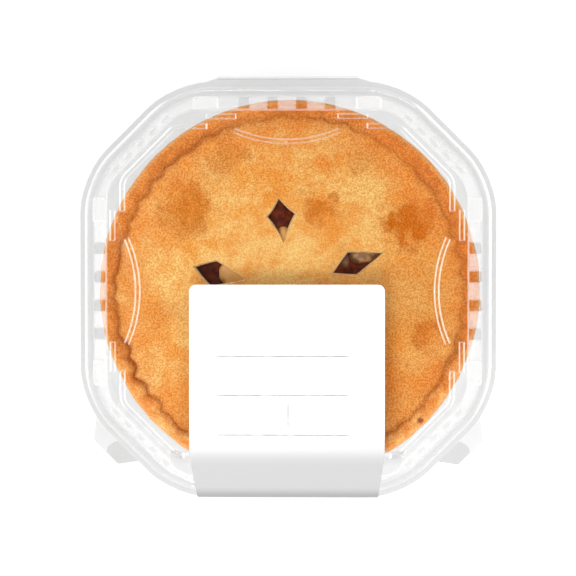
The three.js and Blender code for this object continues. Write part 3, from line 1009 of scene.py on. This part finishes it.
def front_recess():
    """What is cut away at the front, where the label's panel bends down."""
    path = [
        (-80, 58.4), (-82, 57.3), (-90.5, 53.2), (-98.6, 46), (-104.7, RECESS_FOOT_Z),
        (-125, RECESS_FOOT_Z), (-125, 65), (-80, 65),
    ]
    cutter = strip("front_recess", [*path, path[0]], RECESS_HALF)
    with editing(cutter):
        bpy.ops.mesh.select_all(action="SELECT")
        bpy.ops.mesh.remove_doubles(threshold=0.001)
        pick("EDGE", lambda edge: edge.is_boundary)
        bpy.ops.mesh.fill_holes(sides=0)
        face_outwards()

    def widening(co):
        half = RECESS_HALF + 0.35 * (co.z - RECESS_FOOT_Z)
        return Vector((math.copysign(half, co.x), co.y, co.z))

    move_vertices(cutter, widening)
    return cutter


def corner_tab(name, outline, side, low, high):
    """A tab at a front corner, from an outline of [along the edge, distance out]."""
    placed = [(side * (out + along) / math.sqrt(2), (along - out) / math.sqrt(2)) for along, out in outline]
    return plate(name, placed, low, high, corner=0.7)


def hinge_leaf(name, low, high):
    outline = [(-44, 108), (44, 108), (44, 112), (38.3, HINGE_EDGE), (-38.3, HINGE_EDGE), (-44, 112)]
    return plate(name, outline, low, high)


def open_sheet(piece, plane, below, thickness):
    """Deletes the faces on one side of a plane and gives what is left its wall."""

    def spare(face):
        height = face.calc_center_median().z
        beyond = height < plane - 0.02 if below else height > plane + 0.02
        return beyond and (abs(face.normal.z) < 0.05 or abs(face.normal.z) > 0.999)

    with editing(piece):
        pick("FACE", spare)
        bpy.ops.mesh.delete(type="FACE")
        bpy.ops.mesh.select_all(action="SELECT")
        bpy.ops.mesh.delete_loose()
        # Faces with notches would close over the ribs once their inside is drawn in
        bpy.ops.mesh.select_all(action="SELECT")
        bpy.ops.mesh.quads_convert_to_tris(quad_method="BEAUTY", ngon_method="BEAUTY")
    apply(piece, "SOLIDIFY", thickness=thickness, offset=-1, use_rim=True)


class BuildLid(bpy.types.Operator):
    """Builds the clear lid with its ribs, beads, front panel and tabs."""

    bl_idname = "packed_pie.lid"
    bl_label = "Lid"

    def execute(self, context):
        pack = context.scene.pie_pack
        low = LID_FLANGE_Z - FORM_DEPTH
        rings = [(RIM, low), (RIM, LID_FLANGE_Z)]
        rings += [(drawn_in(RIM, inset), LID_FLANGE_Z + up) for inset, up in FLANGE_BEAD]
        lid = octagon_form("lid", [*rings, (LID_FACE, LID_TOP_Z)])

        def shoulder(edge):
            """Level edges round the top of the wall."""
            a, b = (v.co for v in edge.verts)
            level = abs(a.z - b.z) < 1e-3 and a.z > 50
            return level and len(edge.link_faces) == 2 and edge.calc_face_angle(0) > 0.3

        bevel_edges(lid, shoulder, 0.6)
        boolean(lid, lid_ribs(), "UNION")
        boolean(lid, front_recess(), "DIFFERENCE")
        boolean(lid, lid_beads(), "UNION")
        for side in (-1, 1):
            boolean(lid, corner_tab("tab", LID_TAB, side, low, LID_FLANGE_Z), "UNION")
        boolean(lid, hinge_leaf("leaf", low, LID_FLANGE_Z), "UNION")
        open_sheet(lid, LID_FLANGE_Z, True, pack.sheet / MM)
        inside = LID_TOP_Z - pack.sheet / MM

        def levelled(co):
            """The inside of the top is level again where it was drawn in round the beads."""
            drawn = abs(co.z - inside - 0.07) < 0.1
            return Vector((co.x, co.y, inside)) if drawn else co

        move_vertices(lid, levelled)
        finish_piece(lid, "cover", [clear_sheet(pack)], ["lid"], angle=16, level=True)
        return {"FINISHED"}


class BuildTray(bpy.types.Operator):
    """Builds the clear tray with its ribs, flange and tabs."""

    bl_idname = "packed_pie.tray"
    bl_label = "Tray"

    def execute(self, context):
        pack = context.scene.pie_pack
        low, high = TRAY_FLANGE_Z, TRAY_FLANGE_Z + FORM_DEPTH
        rings = [(drawn_in(TRAY_FOOT, 2.2), 0.08), (drawn_in(TRAY_FOOT, 1.2), 0.0)]
        rings += [(TRAY_FOOT, 0.4), (TRAY_BEND, TRAY_BEND_Z)]
        rings += [(drawn_in(RIM, inset), low + up) for inset, up in TRAY_FLANGE_BEAD]
        tray = octagon_form("tray", [*rings, (RIM, low), (RIM, high)])
        boolean(tray, tray_ribs(), "UNION")
        for side in (-1, 1):
            boolean(tray, corner_tab("tab", TRAY_TAB, side, low, high), "UNION")
        boolean(tray, hinge_leaf("leaf", low, high), "UNION")
        open_sheet(tray, low, False, pack.sheet / MM)
        sheet = bpy.data.materials["clear_pet_sheet"]
        finish_piece(tray, "base", [sheet], ["tray"], angle=16, level=True)
        return {"FINISHED"}


class BuildHinge(bpy.types.Operator):
    """Builds the thin roll of sheet on the hinge line."""

    bl_idname = "packed_pie.hinge"
    bl_label = "Hinge"

    def execute(self, context):
        size = {"vertices": 24, "radius": 0.85, "depth": HINGE_ROLL_LENGTH}
        across = (0, math.pi / 2, 0)
        roll = primitive("cylinder", "hinge_roll", location=HINGE_ROLL_PLACE, rotation=across, **size)
        bpy.ops.object.transform_apply()

        def end_edge(edge):
            at_end = abs(edge.verts[0].co.x) > HINGE_ROLL_LENGTH / 2 - 0.1
            return at_end and edge.calc_face_angle(0) > 1

        bevel_edges(roll, end_edge, 0.4)
        finish_piece(roll, "base", [bpy.data.materials["clear_pet_sheet"]])
        return {"FINISHED"}


class BuildLabel(bpy.types.Operator):
    """Builds the paper label, flat on the lid and bent down over its front."""

    bl_idname = "packed_pie.label"
    bl_label = "Label"

    def execute(self, context):
        pack = context.scene.pie_pack
        flat = [(y, LABEL_Z) for y in (LABEL_BACK, -20, -50)]
        label = strip("label", [*flat, *smooth_path(LABEL_FOLD, 6)], LABEL_HALF)

        def tapered(co):
            share = max(0.0, (TAPER_START - co.y) / (TAPER_START - TAPER_END))
            return Vector((co.x * (1 - share * LABEL_TAPER / LABEL_HALF), co.y, co.z))

        move_vertices(label, tapered)
        with editing(label):
            pick("VERT", lambda v: v.co.y > LABEL_BACK - 0.1)
            bpy.ops.mesh.bevel(affect="VERTICES", offset=LABEL_CORNER, segments=6)
            face_outwards()
            if bmesh.from_edit_mesh(label.data).faces[:][0].normal.z < 0:
                bpy.ops.mesh.flip_normals()
        apply(label, "SOLIDIFY", thickness=pack.paper_thickness / MM, offset=1)
        finish_piece(label, "cover", [label_paper(pack)], ["label"], angle=50)
        return {"FINISHED"}


# The pie


class BuildTin(bpy.types.Operator):
    """Builds the foil tin with its rolled edge and pressed flutes."""

    bl_idname = "packed_pie.tin"
    bl_label = "Tin"

    def execute(self, context):
        pack = context.scene.pie_pack
        tin = turned("tin", TIN_PROFILE, 240)

        def fluted(co):
            radius = math.hypot(co.x, co.y)
            if radius < 1:
                return co
            share = max(0.0, 1 - abs(radius - 85) / 9)
            push = 1 + 0.45 * share * math.sin(FLUTES * math.atan2(co.y, co.x)) / radius
            return Vector((co.x * push, co.y * push, co.z))

        move_vertices(tin, fluted)
        finish_piece(tin, "base", [pressed_foil(pack)], ["tin"], angle=40, x=PIE_X)
        return {"FINISHED"}


def apple_wedge():
    """One rounded piece of apple, thinner along one side."""
    wedge = block("apple_piece", (0, 0, 0), (15, 8.5, 5))
    with editing(wedge):
        bpy.ops.mesh.select_all(action="SELECT")
        bpy.ops.mesh.subdivide(number_cuts=3, smoothness=0.6)
        pick("VERT", lambda v: v.co.y > 1)
        bpy.ops.transform.resize(value=(0.8, 1, 0.6), center_override=(0, 4, -1))
    apply(wedge, "SUBSURF", levels=2, render_levels=2)
    return wedge


class BuildFilling(bpy.types.Operator):
    """Builds the syrup body and the apple pieces that show in the slits."""

    bl_idname = "packed_pie.filling"
    bl_label = "Filling"

    def execute(self, context):
        pie = context.scene.pie_food
        body = turned("filling", smooth_path(FILLING_PROFILE, 2), 120)

        def lumpy(co):
            lift = max(0.0, min(1.0, (co.z - 32) / 4))
            return Vector((co.x, co.y, co.z + lift * (0.9 * noise.noise(co / 7) - 0.5)))

        move_vertices(body, lumpy)
        finish_piece(body, "base", [spiced_syrup(pie)], ["filling"], x=PIE_X)

        wedge = apple_wedge()
        pieces = []
        for angle, out, height, turn, size in APPLES:
            a = math.radians(angle)
            spot = Matrix.Translation((out * math.cos(a), out * math.sin(a), height))
            scale = Matrix.Diagonal((size, size, size, 1))
            pieces.append(copy(wedge, spot @ turn_to(math.radians(turn)) @ scale))
        bpy.data.objects.remove(wedge)
        apples = join(pieces)
        apples.name = apples.data.name = "apple_pieces"
        move_vertices(apples, lambda co: co + 0.35 * noise.noise_vector(co / 3.5))
        finish_piece(apples, "base", [cooked_apple(pie)], x=PIE_X)
        return {"FINISHED"}


def ring_noise(turn, scale, seed):
    """Smooth noise that closes round the pie, from about -1 to 1."""
    return noise.noise(Vector((math.cos(turn) * scale, math.sin(turn) * scale, seed)))


def facing(turn, way, power=1):
    """How far a direction from the pie's middle faces another one, from 0 to 1."""
    return max(0.0, math.cos(turn - way)) ** power


def crease_shift(turn):
    """How far the crease wanders from its circle: rounded lobes with sharp outward points."""
    front_left = facing(turn, -2.4)
    strength = 0.7 + 0.9 * ring_noise(turn, 2.2, 3.1) + 0.6 * front_left + 0.4 * facing(turn, RIGHT, 4)
    phase = LOBES * turn / 2 + 2.6 * ring_noise(turn, 2.8, 7.7)
    wander = (1.3 + front_left) * ring_noise(turn, 9, 2.2) + 0.5 * ring_noise(turn, 16, 4.2)
    return strength * (1.3 - 2.2 * abs(math.cos(phase))) + wander


def crease_depth(turn):
    """How deep the crease is pressed: deepest at the left, flatter at the front."""
    depth = 0.65 + 0.15 * math.cos(turn - 2.9) + 0.5 * ring_noise(turn, 3.0, 1.3)
    return depth * (1 - 0.45 * facing(turn, FRONT, 2))


def crease_closeness(turn, offset):
    """How near a place is to the crease: a wide soft hollow with a sharp line along its middle."""
    left, right = facing(turn, LEFT, 3), facing(turn, 0.15, 3)
    rear, rear_left = facing(turn, REAR, 4), facing(turn, 2.2, 4)
    hollow = (0.55 + 0.2 * rear) * math.exp(-((offset / (1.9 + 1.3 * right + 1.1 * rear)) ** 2))
    line = 0.55 + 0.2 * left - 0.2 * right - 0.3 * rear_left
    return hollow + line * math.exp(-((offset / 0.75) ** 2))


def crust_spot(turn, radius):
    """Where a place of the upper crust lies once the crease and the edge wander."""
    near = max(0.0, 1 - abs(radius - CREASE) / 12)
    near *= near * (3 - 2 * near)
    if radius >= CREASE:
        near *= max(0.0, (102 - radius) / 9.6)
    moved = radius + crease_shift(turn) * near
    moved += 0.45 * ring_noise(turn, 9, 5.0) * max(0.0, (radius - 97) / 5)
    return Vector((moved * math.cos(turn), moved * math.sin(turn), 0))


def crust_lift(spot, radius, swell):
    """Gentle swells all over, and a rougher surface on the pressed edge."""
    lift = swell * noise.noise(spot / 16 + Vector((3, 1, 0))) + 0.2 * noise.noise(spot / 5)
    if radius > CREASE:
        rough = 0.8 * noise.noise(spot / 5 + Vector((9, 9, 0))) + 0.45 * noise.noise(spot / 2)
        lift += rough * min(1.0, (radius - CREASE) / 3)
    return lift


def press_crust(crust, swell):
    """Shapes the crust's upper side, and notes where its fold is, for the painted shade in the crease, and
    where its edge is, for the material.
    """
    folds, rims = [], []
    for vertex in crust.data.vertices:
        co = vertex.co
        radius, turn = math.hypot(co.x, co.y), math.atan2(co.y, co.x)
        if radius < 0.5 or co.z <= 33.2 and radius <= 101.2:
            folds.append(0.0)
            rims.append(1.0 if radius > 90 else 0.0)
            continue
        depth, closeness = crease_depth(turn), crease_closeness(turn, radius - CREASE)
        spot = crust_spot(turn, radius)
        vertex.co = (spot.x, spot.y, co.z + crust_lift(spot, radius, swell) - 0.9 * depth * closeness)
        folds.append(closeness * min(1.0, depth))
        rims.append(min(1.0, max(0.0, (radius - CREASE) / 2)))
    for name, values in (("fold", folds), ("rim", rims)):
        crust.data.attributes.new(name, "FLOAT", "POINT").data.foreach_set("value", values)
    crust.data.update()


def slit_outline(slit, steps=5):
    """The four-pointed opening of one slit, as points round the pie's middle."""
    angle, inner, outer, widest, left, right, fullness = slit
    corners = [(inner, 0), (widest, -right), (outer, 0), (widest, left)]
    points = []
    for i, (x0, y0) in enumerate(corners):
        x1, y1 = corners[(i + 1) % 4]
        tip, side = ((x0, y0), (x1, y1)) if i % 2 == 0 else ((x1, y1), (x0, y0))
        mx, my = tip[0] + (side[0] - tip[0]) * 0.55, side[1] * fullness
        for step in range(steps):
            t = step / steps
            x = (1 - t) ** 2 * x0 + 2 * t * (1 - t) * mx + t * t * x1
            y = (1 - t) ** 2 * y0 + 2 * t * (1 - t) * my + t * t * y1
            points.append(turn_to(math.radians(angle)) @ Vector((x, y, 0)))
    return [(p.x, p.y) for p in points]


def slit_cutter(name, slit):
    """A block with the outline of a slit that widens upwards, so that the cut dough shows."""
    low, high = 34, 54
    cutter = plate(name, slit_outline(slit), low, high)
    angle, reach = math.radians(slit[0]), slit[3]
    middle = (reach * math.cos(angle), reach * math.sin(angle), 0)
    with editing(cutter):
        for level, scale in ((low, 0.72), (high, 1.33)):
            pick("VERT", lambda v: abs(v.co.z - level) < 0.1)
            bpy.ops.transform.resize(value=(scale, scale, 1), center_override=middle)
    return cutter


class BuildCrust(bpy.types.Operator):
    """Builds the top crust: its dome, the pressed wavy crease, the rolled edge and the slits."""

    bl_idname = "packed_pie.crust"
    bl_label = "Crust"

    def execute(self, context):
        pie = context.scene.pie_food
        profile = smooth_path([*CRUST_TOP, *CRUST_EDGE], 5)
        profile += smooth_path([CRUST_EDGE[-1], *CRUST_UNDER], 3)[1:]
        crust = turned("crust", profile, 480)
        press_crust(crust, pie.relief / MM)
        cutter = join([slit_cutter(f"slit_{i}", slit) for i, slit in enumerate(SLITS)])
        cutter.data.materials.append(cut_dough(pie))
        crust.data.materials.append(baked_crust(pie))
        boolean(crust, cutter, "DIFFERENCE", solver="EXACT", material_mode="TRANSFER")
        finish_piece(crust, "base", [], ["crust"], angle=40, x=PIE_X)
        return {"FINISHED"}


# The stage


def area_light(name, place, aim, size, energy):
    light = bpy.data.lights.new(name, "AREA")
    light.shape = "RECTANGLE"
    light.size, light.size_y = size
    light.energy = energy
    lamp = bpy.data.objects.new(name, light)
    lamp.location = place
    lamp.rotation_euler = (Vector(aim) - Vector(place)).to_track_quat("-Z", "Y").to_euler()
    bpy.context.scene.collection.objects.link(lamp)


def studio_world():
    """A pale studio: a bright ring overhead, dark in its middle, and low light boxes to both sides."""
    world = bpy.data.worlds.new("studio")
    world.use_nodes = True
    world.node_tree.nodes.clear()
    bpy.context.scene.world = world
    add = partial(node, world.node_tree)
    ray = add("TexCoord").outputs["Generated"]
    height = add("SeparateXYZ", (ray,)).outputs["Z"]

    def towards(*direction):
        return add("VectorMath", (ray, Vector(direction).normalized()), operation="DOT_PRODUCT")

    ring = within(add, (height, 0.77, 0.86), (height, 0.93, 0.98, 3.5, 0.05))
    left = add("MapRange", (towards(-1, -0.3, 0), -0.5, 0.5, 0.9, 1.1))
    roof = add("Math", (ring, left), operation="MULTIPLY")
    sideways = add("Math", (towards(1, 0, 0),), operation="ABSOLUTE")
    back = towards(0, 1, 0)
    boxes = within(add, (sideways, 0.35, 0.7), (back, -0.7, -0.3, 0.6, 1.0), (back, 0.15, 0.6, 1.0, 0.9))
    rest = add("MapRange", (back, 0.4, 0.8, 0.36, 0.42), **SMOOTH)
    around = add("Math", (boxes, rest), operation="MAXIMUM")
    low = add("MapRange", (height, 0.65, 0.45, 0.0, 2.3), **SMOOTH)
    walls = add("Math", (low, around), operation="MULTIPLY")
    light = add("Background", {"Strength": add("Math", (roof, walls), operation="ADD")})
    add("OutputWorld", {"Surface": light})


def white_sweep():
    """Matt white acrylic lit from below, a little stronger towards the front right."""
    material, add = new_material("white_acrylic_sweep")
    place = add("TexCoord").outputs["Object"]
    along = add("VectorMath", (place, GLOW_WAY), operation="DOT_PRODUCT")
    links = {
        "Base Color": linear("888888"),
        "Roughness": 0.7,
        "Emission Color": WHITE,
        "Emission Strength": add("MapRange", (along, -GLOW_REACH, GLOW_REACH, *FLOOR_GLOW)),
    }
    return showing(material, add("BsdfPrincipled", links))


def camera_overhead():
    """A long lens almost straight above, aimed at the pack's rim, with the hinge up in the picture."""
    aim = Vector(CAMERA_AIM) + Vector((0, PACK_SHIFT_Y, 0))
    camera = bpy.data.cameras.new("camera")
    camera.sensor_width = SENSOR
    camera.lens = SENSOR * CAMERA_OFFSET[2] / PICTURE_WIDTH
    holder = bpy.data.objects.new("camera", camera)
    holder.location = aim + Vector(CAMERA_OFFSET)
    back = (holder.location - aim).normalized()
    right = Vector((0, 1, 0)).cross(back).normalized()
    holder.rotation_euler = Matrix((right, back.cross(right), back)).transposed().to_euler()
    bpy.context.scene.collection.objects.link(holder)
    bpy.context.scene.camera = holder


class BuildStage(bpy.types.Operator):
    """Builds the floor, the studio light and the camera."""

    bl_idname = "packed_pie.stage"
    bl_label = "Stage"

    def execute(self, context):
        floor = primitive("plane", "floor", size=FLOOR_SIZE)
        floor.data.materials.append(white_sweep())
        floor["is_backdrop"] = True
        studio_world()
        area_light("key", KEY_PLACE, KEY_AIM, KEY_SIZE, KEY_WATTS)
        camera_overhead()
        context.scene.view_settings.view_transform = "Standard"
        # Enough for a ray through all the sheets of the pack; fewer leave black bars behind them
        context.scene.cycles.transparent_max_bounces = 48
        return {"FINISHED"}


class PackedPiePanel(bpy.types.Panel):
    """Lists the pieces that can be built."""

    bl_idname = "VIEW3D_PT_packed_pie"
    bl_label = "Packed apple pie"
    bl_space_type = "VIEW_3D"
    bl_region_type = "UI"
    bl_category = "Packed pie"

    def draw(self, context):
        for operator in OPERATORS:
            self.layout.operator(operator.bl_idname)
        for settings in (context.scene.pie_food, context.scene.pie_pack):
            for name in settings.__annotations__:
                self.layout.prop(settings, name)


OPERATORS = (BuildStage, BuildLid, BuildTray, BuildHinge, BuildLabel, BuildTin, BuildFilling, BuildCrust)
CLASSES = (PieSettings, PackSettings, *OPERATORS, PackedPiePanel)


def register():
    for item in CLASSES:
        bpy.utils.register_class(item)
    bpy.types.Scene.pie_food = PointerProperty(type=PieSettings)
    bpy.types.Scene.pie_pack = PointerProperty(type=PackSettings)


def unregister():
    del bpy.types.Scene.pie_food
    del bpy.types.Scene.pie_pack
    for item in reversed(CLASSES):
        bpy.utils.unregister_class(item)


def main():
    register()
    for operator in OPERATORS:
        group, name = operator.bl_idname.split(".")
        getattr(getattr(bpy.ops, group), name)()
    boxes = {"cad": CAD_BOX, "visual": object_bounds()}
    {name: [list(corner) for corner in box] for name, box in boxes.items()}


if __name__ == "__main__":
    main()
